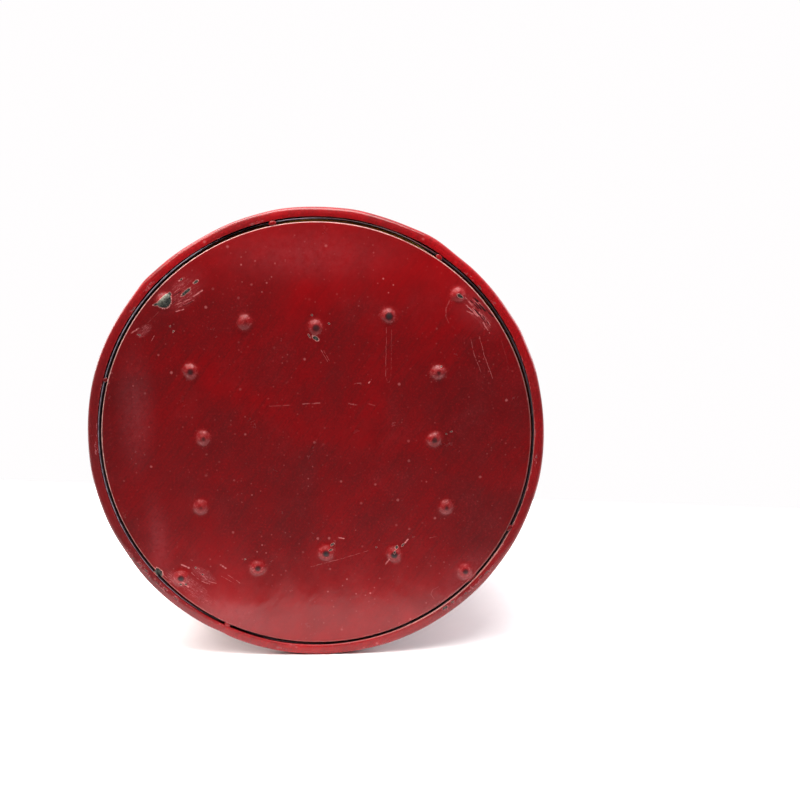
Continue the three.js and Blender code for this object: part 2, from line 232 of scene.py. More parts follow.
# start, end, width, strength
PALE_SCRATCHES = [
    # across the middle, and below the upper rivets
    ((-34, 23), (-19, 23.5), 0.9, 0.3), ((-10, 24.3), (2, 25), 0.9, 0.42),
    ((22, 24.5), (28, 23.5), 1.1, 0.4), ((35.5, 24.5), (40, 23), 1.0, 0.3),
    ((48.5, 80), (47.8, 43.5), 0.3, 0.45), ((52, 76), (51.5, 43), 0.3, 0.38),
    ((51.5, 43), (50, 39), 0.3, 0.45), ((48.2, 43), (49.2, 39), 0.3, 0.4),
    ((3, 62.5), (7.7, 54), 0.3, 0.55), ((4.8, 62), (8.8, 55), 0.3, 0.5), ((36, 39), (38, 41.5), 0.6, 0.8),
    ((26, 38.4), (30.5, 39), 0.45, 0.5),
    # upper right: an arc beside the rivet, then short gouges, then long fine lines
    ((92, 96), (89.6, 91), 1.1, 0.34), ((89.6, 91), (89.4, 85.5), 1.1, 0.32),
    ((89.4, 85.5), (91.6, 80.5), 1.0, 0.28), ((91.6, 80.5), (96, 76.5), 0.9, 0.2),
    ((102.5, 98.5), (106.5, 94), 0.6, 0.6), ((103.5, 93), (112, 85), 0.65, 0.75),
    ((115.5, 81), (120, 73.5), 0.6, 0.7), ((104, 88.7), (109, 86.5), 0.6, 0.6),
    ((110, 97.5), (116.5, 90), 0.5, 0.6), ((107, 69), (109.5, 58), 0.5, 0.4),
    ((109.5, 58), (114.5, 46), 0.4, 0.42), ((113, 71), (116.5, 58), 0.5, 0.45),
    ((116.5, 58), (122.5, 42), 0.45, 0.45), ((128, 69), (131.5, 58), 0.4, 0.3),
    ((131.5, 58), (134, 46), 0.4, 0.25),
    # upper left
    ((-84.5, 98.5), (-77.5, 103.5), 0.9, 0.7), ((-95.7, 89), (-90.5, 90.7), 0.8, 0.6),
    ((-95, 94), (-86, 97.5), 0.5, 0.6), ((-99.5, 100), (-92.5, 105), 0.5, 0.5),
    ((-93, 110), (-89.5, 112), 0.8, 0.8), ((-98, 104), (-90, 109), 0.45, 0.4),
    ((-94, 92), (-83, 97), 0.45, 0.5), ((-126.5, 74.5), (-121.5, 77.7), 0.8, 0.6),
    ((-113.8, 68), (-111, 72.5), 0.5, 0.5), ((-117, 79.5), (-107, 89.5), 0.6, 0.3),
    # lower middle and lower left
    ((-6, -93.5), (15, -88), 0.35, 0.45), ((15, -88), (35, -82), 0.35, 0.4),
    ((79, -73), (84, -72), 0.35, 0.5), ((-70, -99.5), (-61, -105), 0.35, 0.45),
    ((-84, -103.5), (-78, -105.5), 0.4, 0.6), ((-113, -97), (-108, -101), 0.5, 0.5),
    ((-91, -97), (-85, -103), 0.4, 0.5), ((-97.5, -91.2), (-92.5, -93.4), 1.1, 0.65),
    ((-70, -91.5), (-66.5, -94), 1.2, 0.55), ((-65, -99), (-56.5, -105), 0.35, 0.5),
    ((-79, -103.5), (-73.3, -105), 0.4, 0.6), ((-108, -97), (-103, -100.8), 0.4, 0.5),
    ((-85.7, -96.5), (-79.7, -102.7), 0.35, 0.5), ((-97, -104), (-93.5, -107.5), 1.1, 0.7),
    # lower right
    ((80, -115), (82.5, -118.5), 0.8, 0.35), ((81.5, -111.5), (80, -115), 0.7, 0.35),
    ((85.5, -109.5), (81.5, -111.5), 0.7, 0.3), ((14, -72.2), (18, -72.8), 0.7, 0.7),
    ((61.5, -76.3), (63.5, -74), 0.9, 0.9), ((47.5, -92), (50, -88.5), 1.0, 0.6),
    # more gouges at the upper right
    ((108, 97), (113, 92.5), 0.5, 0.6), ((112.5, 88), (117.5, 82.5), 0.6, 0.7),
    ((108, 90.5), (113.5, 84), 0.6, 0.7), ((117, 84), (120.5, 79), 0.5, 0.6),
    ((105.5, 95.5), (110, 90), 0.5, 0.6),
]
DARK_SCRATCHES = [
    ((108.7, 98), (111.6, 95.5), 1.0, 0.9), ((113, 93), (117, 88.7), 1.0, 0.9),
    ((119.5, 87.5), (122.3, 85), 0.8, 0.7), ((109.5, 90), (117, 81), 0.7, 0.75),
    ((105, 91), (108, 88), 0.6, 0.5), ((-91, 93), (-84, 96), 0.5, 0.5),
    ((-120, 70), (-108, 86), 0.35, 0.25), ((-60, 20), (-30, 44), 0.5, 0.25), ((10, 30), (40, 58), 0.5, 0.2),
    ((66, -60), (92, -40), 0.5, 0.2), ((-100, 93), (-95, 97), 0.5, 0.5),
    ((106.5, 96), (112, 90.5), 0.6, 0.7), ((110, 94.5), (114, 90), 0.7, 0.8),
    ((115, 85.5), (119, 80), 0.6, 0.6), ((117.5, 90), (120, 87), 0.6, 0.6),
    ((-97, 100), (-92, 103), 0.5, 0.6), ((-93, 95.5), (-88, 98.5), 0.5, 0.5),
]
# centre, half width, half height, turn in degrees (anticlockwise)
CHIPS = [
    ((-108.5, 94.2), 3.6, 1.3, 15), ((-99.6, 101), 1.4, 1.8, 0), ((-88.5, 102.4), 5.6, 1.5, 40),
    ((-81.6, 109.3), 2.6, 1.2, 33), ((-91.5, 111), 1.6, 0.7, 30), ((-121.5, 73), 1.6, 0.7, -10),
    ((-100, 79), 0.8, 0.8, 0), ((-97.8, 75.6), 1.3, 0.7, 50), ((-0.5, 70.4), 3.4, 1.9, -40),
    ((-5, 72), 0.8, 2.0, 25), ((-2.8, 86.3), 1.0, 0.8, 0), ((8.9, 80.5), 0.8, 0.8, 0),
    ((98.9, 99.3), 3.2, 1.6, -30), ((86.6, 50.3), 0.9, 0.9, 0), ((94, 4), 1.2, 0.7, 20),
    ((90.5, 2.5), 0.8, 0.8, 0), ((9.6, -77.1), 2.2, 1.2, 32), ((8.4, -80.9), 1.9, 0.8, 12),
    ((55.4, -79.5), 1.5, 1.3, 50), ((59.9, -77.9), 2.1, 0.8, 48), ((54, -82.8), 0.9, 1.7, -10),
    ((-114.2, -96.4), 4.8, 3.2, -48), ((-98.8, -105.5), 1.6, 0.9, -45), ((-87.8, -93.4), 0.9, 0.9, 0),
    ((-83, -98.5), 0.9, 0.8, -40), ((-52.4, -87.4), 0.8, 0.8, 0), ((41, -79.5), 0.7, 0.7, 0),
    ((-95.1, -105.9), 1.2, 0.8, -45),
]
# patches scuffed by many fine strokes: the direction of the strokes, and the patches as above
SCUFFS = {
    34: [((-90, 99), 15, 8, 34), ((-91, 108), 9, 5, 30), ((-118, 76), 8, 4, 40)],
    -50: [((112, 87), 18, 6, -50)],
    -38: [((-90, -109), 24, 8, -38), ((-82, -99), 12, 5, -36), ((-104, -101), 8, 6, -45)],
}
# broad soft veils, and patches of grit
VEILS = [((-113, -74), 12, 42, 4), ((-60, -128), 44, 16, -24), ((112, 92), 34, 22, -46),
         ((-92, 104), 30, 16, 40), ((-6, 128), 90, 26, 0), ((104, -104), 44, 22, 45),
         ((-126, 20), 18, 60, 0)]
SPECKLED = [((24, -112), 46, 20, 0), ((-52, -86), 40, 16, 0), ((50, 104), 30, 24, 0), ((-40, 118), 40, 18, 0)]
# the rim's worn stretches: clock angle in degrees, radius, half length, half width
RIM_WEAR = [
    (233, 155.6, 9, 3.2), (226.5, 155.0, 8, 2.6), (221, 154.6, 6, 2.0), (239, 156.5, 6, 2.0),
    (140.5, 156.0, 8, 2.6), (136, 155.5, 6, 2.0), (129, 156.5, 9, 2.0), (52, 155.0, 5, 1.6),
    (313, 155.4, 8, 1.8), (306, 154.6, 6, 1.4), (43, 154.4, 7, 1.3), (144, 155.2, 4, 2.0),
    (133, 155.8, 5, 1.6), (345, 154.4, 7, 1.2), (268, 154.6, 8, 1.4), (190, 157.0, 8, 1.3),
    (96, 155.0, 8, 1.4),
]
# and its bare chips, the same way
RIM_CHIPS = [
    (144.2, 154.4, 3.4, 1.3), (141.6, 154.0, 2.2, 0.8), (129.6, 155.6, 2.6, 0.5), (131.6, 154.4, 2.0, 0.5),
    (137.5, 155.4, 1.6, 0.6), (234.6, 156.6, 3.0, 0.6), (232.2, 155.2, 2.6, 0.7), (236.8, 157.4, 1.8, 0.5),
    (227.8, 155.6, 2.8, 0.5), (225.2, 154.4, 2.4, 0.6), (221.4, 154.8, 2.8, 0.5), (230.2, 157.0, 1.6, 0.5),
    (306, 154.3, 2.4, 0.5), (47, 154.2, 2.6, 0.5),
]


def round_the_rim(rows):
    """The same marks with their centres across and up, as chips() takes them."""
    result = []
    for clock, radius, along, across in rows:
        a = math.radians(clock)
        result.append(((radius * math.sin(a), radius * math.cos(a)), along, across, -clock))
    return result


def scratch_group():
    """How deep a point lies in a thin scratch from A to B: its strength on the line, 0 off it."""
    g = MarkGroup("scratch", ("A", "B"), ("Width", "Strength"))
    from_a = g.vector("SUBTRACT", g.given["Point"], g.given["A"])
    line = g.vector("SUBTRACT", g.given["B"], g.given["A"])
    share = g.math("DIVIDE", g.dot(from_a, line), g.dot(line, line), True)
    nearest = g.node("ShaderNodeVectorMath", {0: line, 3: share}, operation="SCALE")
    reach = g.math("DIVIDE", g.length(g.vector("SUBTRACT", from_a, nearest)), g.given["Width"])
    return g.hand_on(g.both(g.rest_of(reach), g.given["Strength"]))


def chip_group():
    """How deep a point lies in an oval chip: 1 in the middle, 0 at its edge and beyond."""
    g = MarkGroup("chip", ("Centre", "Turn", "Shrink"))
    off = g.vector("SUBTRACT", g.given["Point"], g.given["Centre"])
    return g.hand_on(g.rest_of(g.length(g.stretched(off, g.given["Shrink"], g.given["Turn"]))))


SCRATCH, CHIP = scratch_group(), chip_group()


def marks(t, point, group, rows):
    """How deep a point lies in the deepest of many marks."""
    depth = 0.0
    for row in rows:
        made = t.outputs("ShaderNodeGroup", {"Point": point, "Before": depth, **row}, node_tree=group)
        depth, point = made["Depth"], made["Point"]
    return depth


def scratches(t, point, rows, broken):
    return t.both(broken, marks(t, point, SCRATCH, [
        {"A": (*a, 0), "B": (*b, 0), "Width": width, "Strength": strength}
        for a, b, width, strength in rows]))


def chips(t, point, rows):
    return marks(t, point, CHIP, [
        {"Centre": (*centre, 0), "Turn": (0, 0, -math.radians(turn)), "Shrink": (1 / across, 1 / up, 1)}
        for centre, across, up, turn in rows])


# ---------------------------------------------------------------- lacquer

BRUSHED = (0, math.radians(52), 0)                 # the way the lacquer was brushed on
PRIMER = (srgb(206, 138, 132), srgb(142, 70, 68))
RIM_PRIMER = (srgb(188, 98, 102), srgb(104, 42, 48))
# a direction across the closed end, and how a strength runs along it: from mm, to mm, low, high
TOP_LEFT = ((-0.45, 0.89, 0), -70, 80, 0.2, 1.0)
RIGHT = ((0.97, -0.25, 0), 30, 130, 0.0, 0.6)


def towards(t, flat, side):
    return t.remap(t.dot(flat, side[0]), *side[1:])


class Place:
    """Where a point of a surface lies, in mm: flat is across and up only, wavering the same less straight."""

    def __init__(self, t):
        off = t.vector("SUBTRACT", t.position(), (0, FACE_Y, AXIS_Z))
        self.place = t.vector("MULTIPLY", off, (1 / MM,) * 3)
        parts = t.outputs("ShaderNodeSeparateXYZ", {0: self.place})
        self.flat = t.node("ShaderNodeCombineXYZ", {"X": parts["X"], "Y": parts["Z"]})
        waver = t.outputs("ShaderNodeTexNoise", {"Vector": self.flat, "Scale": 0.45, "Detail": 3})
        waver = t.vector("SUBTRACT", waver["Color"], (0.5,) * 3)
        self.wavering = t.vector("ADD", self.flat, waver)
        self.depth = parts["Y"]
        self.radius = t.length(self.flat)


def red_coat(t, at, shade, shaded_sides, lit_ends):
    """The red coat itself: clouded, brushed and grained, with painted shade that darkens it towards the left
    and right, and a painted highlight that brightens it towards the top and bottom.
    """

    def red(*display):
        return tuple(c * shade for c in srgb(*display))

    streak = t.noise(t.stretched(at.place, (0.02, 0.3, 0.4), BRUSHED), 1.0, 3, 0.65)
    fine_streak = t.noise(t.stretched(at.place, (0.1, 0.8, 1.6), (0, math.radians(50), 0)), 1.0, 2, 0.7)
    colour = t.mix(t.remap(at.cloud, 0.32, 0.68), red(140, 1, 8), red(110, 2, 7))
    for pattern, low, high, strength, tint in (
            (at.patch, 0.45, 0.8, 0.35, (84, 9, 11)), (streak, 0.42, 0.72, 0.45, (88, 12, 13)),
            (fine_streak, 0.5, 0.75, 0.3, (76, 8, 10)), (at.grain, 0.5, 0.72, 0.55, (166, 10, 18)),
            (at.grain, 0.5, 0.3, 0.45, (80, 9, 11)), (at.speckle, 0.44, 0.28, 0.4, (76, 14, 14))):
        colour = t.mix(t.both(t.remap(pattern, low, high), strength), colour, red(*tint))
    # painted shade: the red is darkened towards the left and right
    if shaded_sides:
        left = towards(t, at.flat, ((-0.97, -0.25, 0), 60, 150, 0.0, 0.75))
        right = towards(t, at.flat, ((0.9, -0.43, 0), 90, 150, 0.0, 0.45))
        painted_shade = t.both(t.either(left, right), t.remap(at.patch, 0.2, 0.6, 0.7, 1.0), shaded_sides)
        colour = t.mix(painted_shade, colour, red(78, 10, 13))
    # painted highlight: the red is brightened towards the top and bottom
    if lit_ends:
        ends = t.remap(t.math("ABSOLUTE", t.dot(at.flat, (0.1, 0.99, 0))), 62, 145)
        brightened = t.both(ends, t.remap(at.patch, 0.25, 0.6, 1.0, 0.6), lit_ends)
        colour = t.mix(brightened, colour, red(178, 8, 16))
    return colour


def haze_and_strokes(t, at, veils, scuffs):
    """Where the lacquer is rubbed dull, and the fine pale strokes of its scuffed patches."""
    rubbed = t.both(t.remap(t.noise(at.place, 0.03, 5, 0.7, 0.8), 0.48, 0.75), t.remap(at.grain, 0.3, 0.7))
    haze = t.both(rubbed, 0.05)
    if veils:
        soft = t.both(t.remap(chips(t, at.flat, veils), 0.0, 1.0), t.remap(at.speckle, 0.3, 0.62, 0.35, 1.0))
        haze = t.either(haze, t.both(soft, 0.13))
    strokes = []
    for turn, rows in scuffs.items():
        uneven = t.remap(t.noise(at.flat, 0.16, 4, 0.7), 0.3, 0.55, 0.25, 1.0)
        area = t.both(t.remap(chips(t, at.flat, rows), 0.0, 0.6), uneven)
        stroke = t.noise(t.stretched(at.flat, (0.16, 1.7, 1), (0, 0, -math.radians(turn))), 1.0, 3, 0.7)
        strokes.append(t.both(area, t.remap(stroke, 0.52, 0.62), t.remap(at.grain, 0.35, 0.6)))
        haze = t.either(haze, t.both(area, t.remap(at.grain, 0.25, 0.7, 0.02, 0.2)))
    return haze, strokes


def pale_specks(t, at, speckled):
    """Soft pale spots, and grit that lies thickest in the speckled patches."""
    cells = t.outputs("ShaderNodeTexVoronoi", {"Vector": at.place, "Scale": 0.12})
    chance = t.outputs("ShaderNodeSeparateColor", {0: cells["Color"]})
    reach = t.math("SUBTRACT", cells["Distance"], t.both(at.grain, 0.1))
    reach = t.math("ADD", reach, t.remap(chance[1], 0.0, 1.0, -0.02, 0.12))
    spots = t.both(t.remap(reach, 0.1, -0.02), t.remap(chance[0], 0.3, 1.0))

    fine = t.outputs("ShaderNodeTexVoronoi", {"Vector": at.place, "Scale": 0.3})
    some = t.remap(t.node("ShaderNodeSeparateColor", {0: fine["Color"]}), 0.45, 1.0)
    here = t.remap(at.patch, 0.45, 0.7, 0.15, 0.8)
    strength = 0.36
    if speckled:
        thick = t.remap(chips(t, at.flat, speckled), 0.0, 0.8)
        here = t.either(here, thick)
        strength = t.remap(thick, 0.0, 1.0, strength, 0.6)
    grit = t.both(t.remap(fine["Distance"], 0.26, 0.08), some, here)
    return t.either(t.both(spots, 0.34), t.both(grit, strength))


def rivet_wear(t, at, colour, dome):
    """A rivet's dome: its red brightened as painted light, pale rubbed spots on its shoulder that are partly
    wear and partly a painted highlight, and dark at its tip.
    """
    # painted light: the dome's red is brightened, for the light it catches more than the flat plate
    colour = t.mix(t.both(dome, 0.25), colour, srgb(160, 14, 22))
    # partly wear and partly a painted highlight: pale spots on the dome's shoulder
    shoulder_rub_and_sheen = t.both(dome, t.remap(at.grain, 0.46, 0.66), t.remap(at.speckle, 0.38, 0.58))
    colour = t.mix(t.both(shoulder_rub_and_sheen, 0.2), colour, srgb(206, 132, 130))
    soot = t.attribute("soot")
    ragged = t.math("ADD", soot, t.both(t.math("SUBTRACT", at.speckle, 0.5), 0.8))
    sooty = t.both(t.remap(soot, 0.02, 0.1), t.remap(ragged, 0.1, 0.5))
    colour = t.mix(t.both(sooty, 0.85), colour, srgb(46, 12, 16))
    return t.mix(t.both(sooty, t.remap(ragged, 0.5, 0.95)), colour, srgb(40, 34, 36))


def nearness(t, at, radius, width):
    """1 at a radius, and 0 a width in mm away from it."""
    return t.rest_of(t.math("DIVIDE", t.math("ABSOLUTE", t.math("SUBTRACT", at.radius, radius)), width))


def worn_through(t, at, chip_rows, wear_rows, edges):
    """Where the coat is gone down to the primer, and where it is gone down to the steel."""
    field = t.attribute("worn")
    if chip_rows:
        field = t.either(field, chips(t, at.wavering, chip_rows))
    if wear_rows:
        patchy = t.remap(t.noise(at.flat, 0.4, 6, 0.8), 0.45, 0.64, 0.0, 0.37)
        field = t.either(field, t.both(t.remap(chips(t, at.flat, wear_rows), 0.0, 0.6), patchy))
    for radius, width in edges:
        patchy = t.remap(t.noise(at.place, 0.12, 5, 0.7), 0.48, 0.72)
        field = t.either(field, t.both(nearness(t, at, radius, width), patchy, 0.45))
    ragged = t.math("SUBTRACT", t.noise(at.flat, 0.9, 4, 0.65), 0.5)
    inside = t.both(t.math("ADD", field, ragged), t.remap(field, 0.01, 0.1))
    return t.remap(inside, 0.1, 0.18), t.remap(inside, 0.24, 0.34)


def painted_edge_highlight(t, at, radius, width, side):
    """A painted highlight along an edge at a radius, strongest on one side."""
    line = t.remap(nearness(t, at, radius, width), 0.1, 0.8, 0.0, 0.85)
    line = t.both(line, towards(t, at.flat, side), t.remap(at.speckle, 0.3, 0.55, 0.35, 1.0))
    return t.both(line, t.remap(at.depth, 2.0, 1.2))


def lacquer(name, chip_rows=(), pale_rows=(), dark_rows=(), scuffs=None, veils=(), speckled=(),
            wear_rows=(), edges=(), highlight_line=None, slot_wall=0, shade=1.0, shaded_sides=0.0,
            lit_ends=0.0, primers=PRIMER):
    """Worn candy-red lacquer over primer and steel.

    edges are (radius, width) in mm where it has rubbed through in places, and highlight_line is (radius,
    width, side) of an edge given a painted highlight, strongest on one side. Surfaces inside slot_wall, a
    radius, that lie deeper than a millimetre are painted near black as painted shade. shade lightens or
    darkens the red, shaded_sides darkens it towards the left and right as painted shade, and lit_ends
    brightens it towards the top and bottom as a painted highlight."""
    t = Material(name)
    at = Place(t)
    at.cloud = t.noise(at.place, 0.015, 3, 0.55, 0.4)
    at.patch = t.noise(at.place, 0.04, 4, 0.6, 0.3)
    at.grain = t.noise(at.place, 0.65, 5, 0.75)
    at.speckle = t.noise(at.place, 0.22, 5, 0.8)
    colour = red_coat(t, at, shade, shaded_sides, lit_ends)
    haze, strokes = haze_and_strokes(t, at, veils, scuffs or {})
    colour = t.mix(haze, colour, srgb(160, 84, 90))

    pale = pale_specks(t, at, speckled)
    broken = t.remap(t.noise(at.flat, 0.3, 4, 0.7), 0.3, 0.52)
    if pale_rows:
        pale = t.either(pale, t.remap(scratches(t, at.wavering, pale_rows, broken), 0.1, 0.75))
    if strokes:
        pale = t.either(pale, t.both(t.either(*strokes), 0.5))
    dark = t.both(t.remap(t.noise(at.place, 0.25, 6, 0.75), 0.66, 0.8), 0.5)
    if dark_rows:
        dark = t.either(dark, t.remap(scratches(t, at.wavering, dark_rows, broken), 0.1, 0.5))
    colour = t.mix(t.both(pale, 0.8), colour, srgb(206, 124, 124))
    colour = t.mix(dark, colour, srgb(40, 12, 15))
    dome = t.attribute("dome")
    colour = rivet_wear(t, at, colour, dome)

    primer, steel = worn_through(t, at, chip_rows, wear_rows, edges)
    tone = t.remap(t.noise(at.place, 0.7, 4, 0.7), 0.35, 0.65)
    # painted highlight: a pale line along an edge, where it faces the light
    if highlight_line:
        highlight_colour = t.mix(tone, srgb(206, 164, 150), srgb(160, 112, 116))
        colour = t.mix(painted_edge_highlight(t, at, *highlight_line), colour, highlight_colour)
    colour = t.mix(primer, colour, t.mix(tone, *primers))
    bare_steel = t.mix(tone, srgb(28, 29, 28), srgb(80, 83, 77))
    # painted highlight: lighter steel where the bare rivet's top left faces the light, following the bright
    # attribute
    steel_highlight = t.mix(tone, srgb(92, 94, 84), srgb(146, 146, 132))
    colour = t.mix(steel, colour, t.mix(t.attribute("bright"), bare_steel, steel_highlight))
    coatless = primer
    if slot_wall:
        in_slot = t.remap(at.radius, slot_wall + 0.7, slot_wall)
        # painted shade: surfaces more than about a millimetre deep in the slot are painted near black
        painted_shade = t.both(t.remap(at.depth, 0.75, 1.5), in_slot)
        colour = t.mix(painted_shade, colour, t.mix(tone, srgb(30, 16, 18), srgb(14, 10, 12)))
        dull_corner = t.both(in_slot, t.remap(at.radius, 152.5, 152.9), 0.7)
        coatless = t.either(primer, painted_shade, dull_corner)

    rough = t.remap(t.math("ADD", t.both(at.grain, 0.5), t.both(at.cloud, 0.5)), 0.3, 0.7, 0.42, 0.62)
    coat_rough = t.remap(t.noise(at.place, 0.06, 6, 0.7), 0.35, 0.7, 0.13, 0.28)
    peel = t.noise(at.place, 0.2, 3, 0.5)
    ripple = t.noise(t.stretched(at.place, (0.03, 0.2, 0.25), BRUSHED), 1.0, 3, 0.5)
    return t.finish(
        Base_Color=colour,
        Roughness=t.math("ADD", rough, t.both(coatless, 0.12)),
        Specular_IOR_Level=0.12,
        Normal=t.bump(at.grain, 0.2, 0.0002, t.bump(ripple, 0.3, 0.0006, t.bump(peel, 0.35, 0.0004))),
        Coat_Weight=t.both(t.rest_of(coatless), t.math("SUBTRACT", 0.55, t.both(dome, 0.25))),
        Coat_Roughness=t.math("ADD", coat_rough, t.both(dome, 0.12)),
        Coat_Normal=t.bump(ripple, 0.2, 0.0005, t.bump(peel, 0.3, 0.0003)),
        Metallic=t.both(steel, 0.4))


# ---------------------------------------------------------------- metal and skin

def metal(name, bright, dull, spot, rough=(0.18, 0.42), rust=0.0, spots=(0.58, 0.72), lit_beyond=None):
    """Aged metal: bright where rubbed, dull in patches, spotted, and rusty where told.

    lit_beyond is the radius in mm beyond which a sheet's cut edge is given a painted highlight, strongest at
    the left;
    the rest of the edge is painted dark as painted shade."""
    t = Material(name)
    place = t.vector("MULTIPLY", t.position(), (1 / MM,) * 3)
    patch = t.noise(place, 0.12, 5, 0.65, 0.8)
    fine = t.noise(place, 1.4, 6, 0.7)
    brushed = t.noise(t.stretched(place, (1.5, 0.08, 1.5)), 1.0, 3, 0.6)
    spotted = t.remap(t.noise(place, 0.8, 5, 0.75), *spots)
    colour = t.mix(t.remap(patch, 0.4, 0.65), bright, dull)
    colour = t.mix(t.both(t.remap(brushed, 0.5, 0.7), 0.3), colour, dull)
    colour = t.mix(spotted, colour, spot)
    lit_share = 1.0
    # painted highlight on the cut edge beyond a radius, strongest at the left, and painted shade, a dark
    # colour, on the rest
    if lit_beyond:
        at = Place(t)
        lit_share = t.both(t.remap(at.radius, lit_beyond - 0.15, lit_beyond + 0.15),
                       towards(t, at.flat, ((-0.88, 0.47, 0), 0, 120, 0.12, 1.0)))
        colour = t.mix(lit_share, spot, colour)
    rusty = t.both(t.remap(t.noise(place, 0.2, 6, 0.7, 1.0), 0.52, 0.68), rust)
    colour = t.mix(rusty, colour, t.mix(fine, srgb(92, 48, 26), srgb(60, 30, 20)))
    uneven = t.math("ADD", t.both(fine, 0.4), t.both(patch, 0.6))
    spoiled = t.either(spotted, rusty)
    return t.finish(
        Base_Color=colour,
        Roughness=t.math("ADD", t.remap(uneven, 0.3, 0.7, *rough), t.both(spoiled, 0.3)),
        Metallic=t.both(lit_share, t.rest_of(t.both(t.either(rusty, t.both(spotted, 0.4)), 0.9))),
        Specular_IOR_Level=0.25 if lit_beyond else 0.5,
        Normal=t.bump(fine, 0.15, 0.0001, t.bump(spoiled, 0.25, 0.00012)))


def calfskin():
    """Old calfskin: mottled and veined, greyed where it is played, soiled near the hoop, with dark flecks."""
    t = Material("calfskin")
    at = Place(t)
    mottle = t.noise(at.place, 0.03, 6, 0.6, 0.8)
    vein = t.noise(at.place, 0.05, 8, 0.6, 2.5)
    fine = t.noise(at.place, 0.9, 6, 0.7)
    veins = t.remap(t.math("ABSOLUTE", t.math("SUBTRACT", vein, 0.5)), 0.02, 0.0)
    uneven = t.math("ADD", at.radius, t.both(mottle, 50))
    played = t.both(t.remap(uneven, 115, 40), t.remap(fine, 0.3, 0.7))
    soiled = t.both(t.remap(at.radius, 136, 152), t.remap(fine, 0.25, 0.75))
    flecks = t.remap(t.noise(at.place, 0.5, 6, 0.8), 0.66, 0.74)
    colour = t.mix(t.remap(mottle, 0.35, 0.68), srgb(226, 214, 188), srgb(202, 184, 148))
    for mask, strength, tint in (
            (veins, 0.3, (176, 150, 112)), (played, 0.4, (150, 136, 116)), (soiled, 0.5, (120, 92, 62)),
            (flecks, 0.4, (118, 84, 56))):
        colour = t.mix(t.both(mask, strength), colour, srgb(*tint))
    return t.finish(
        Base_Color=colour,
        Roughness=t.remap(fine, 0.3, 0.7, 0.42, 0.62),
        Normal=t.bump(fine, 0.2, 0.0002, t.bump(veins, 0.2, 0.0002, t.bump(mottle, 0.2, 0.0008))),
        Subsurface_Weight=0.15, Subsurface_Radius=(0.0012, 0.0007, 0.0004), Subsurface_Scale=1.0)


PLATE_LACQUER = lacquer(
    "plate_lacquer", CHIPS, PALE_SCRATCHES, DARK_SCRATCHES, SCUFFS, VEILS, SPECKLED,
    highlight_line=(149.9, 0.65, TOP_LEFT), slot_wall=153, shade=0.66, shaded_sides=0.42, lit_ends=0.72)
# the hoop's copy of the lacquer is made lighter than the plate's (shade 1.22 against 0.66) as painted light,
# for the light its rolled face catches
HOOP_LACQUER = lacquer(
    "hoop_lacquer", round_the_rim(RIM_CHIPS), wear_rows=round_the_rim(RIM_WEAR), edges=[(153.3, 0.5)],
    highlight_line=(152.3, 0.9, RIGHT), slot_wall=153.6, shade=1.22, shaded_sides=1.15, primers=RIM_PRIMER)
SHELL_LACQUER = lacquer("shell_lacquer", shade=0.8)
COUNTER_LACQUER = lacquer("counter_hoop_lacquer", edges=[(156.3, 0.7), (160.0, 0.6)], shade=0.85)
NICKEL = metal("aged_nickel", srgb(206, 200, 188), srgb(150, 142, 128), srgb(84, 70, 52), rust=0.25)
STEEL = metal("darkened_steel", srgb(120, 118, 114), srgb(70, 66, 64), srgb(40, 34, 32), (0.4, 0.62),
              rust=0.7)
# the shell's cut edge in the slot: a painted highlight on its outer part, strongest at the left, and painted
# shade on the rest
RAW_EDGE = metal("raw_edge_steel", srgb(226, 214, 232), srgb(150, 134, 152), srgb(30, 20, 26), (0.45, 0.65),
                 rust=0.1, spots=(0.62, 0.76), lit_beyond=152.1)
BRASS = metal("tarnished_brass", srgb(196, 150, 84), srgb(128, 92, 48), srgb(64, 52, 32), (0.25, 0.5))
CALFSKIN = calfskin()


# ---------------------------------------------------------------- shapes

# Local millimetres: X and Z across, Y along the part's own axis.
DRUM = Matrix.Translation((0, FACE_Y, AXIS_Z)) @ Matrix.Scale(MM, 4)
ROUND_STEPS = 480                                  # round the big pieces


def at_clock(angle, radius=0.0):
    """The frame of a part whose axis is parallel to the drum's, at a clock angle."""
    return DRUM @ Matrix.Rotation(angle, 4, "Y") @ Matrix.Translation((0, 0, radius))


def radial_at(angle, depth):
    """The frame of a part whose axis points out of the drum, at a clock angle and a depth."""
    outwards = Matrix.Rotation(math.pi / 2, 4, "X")
    return DRUM @ Matrix.Rotation(angle, 4, "Y") @ Matrix.Translation((0, depth, 0)) @ outwards


def piece(name, shape, material, body, crease=38, attributes=None):
    verts, faces = shape
    mesh = bpy.data.meshes.new(name)
    mesh.from_pydata([tuple(v) for v in verts], [], faces)
    for key, values in (attributes or {}).items():
        mesh.attributes.new(key, "FLOAT", "POINT").data.foreach_set("value", values)
    edit = bmesh.new()
    edit.from_mesh(mesh)
    bmesh.ops.remove_doubles(edit, verts=edit.verts, dist=1e-7)
    bmesh.ops.recalc_face_normals(edit, faces=edit.faces)
    edit.to_mesh(mesh)
    edit.free()
    mesh.shade_smooth()
    mesh.set_sharp_from_angle(angle=math.radians(crease))
    mesh.materials.append(material)
    made = bpy.data.objects.new(name, mesh)
    bpy.context.scene.collection.objects.link(made)
    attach(made, body)
    return made


def look(node, shape, material, body, crease=38, attributes=None):
    """The detailed piece that is shown instead of a plain node."""
    made = piece(node + "_look", shape, material, body, crease, attributes)
    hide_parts(node)
    return made


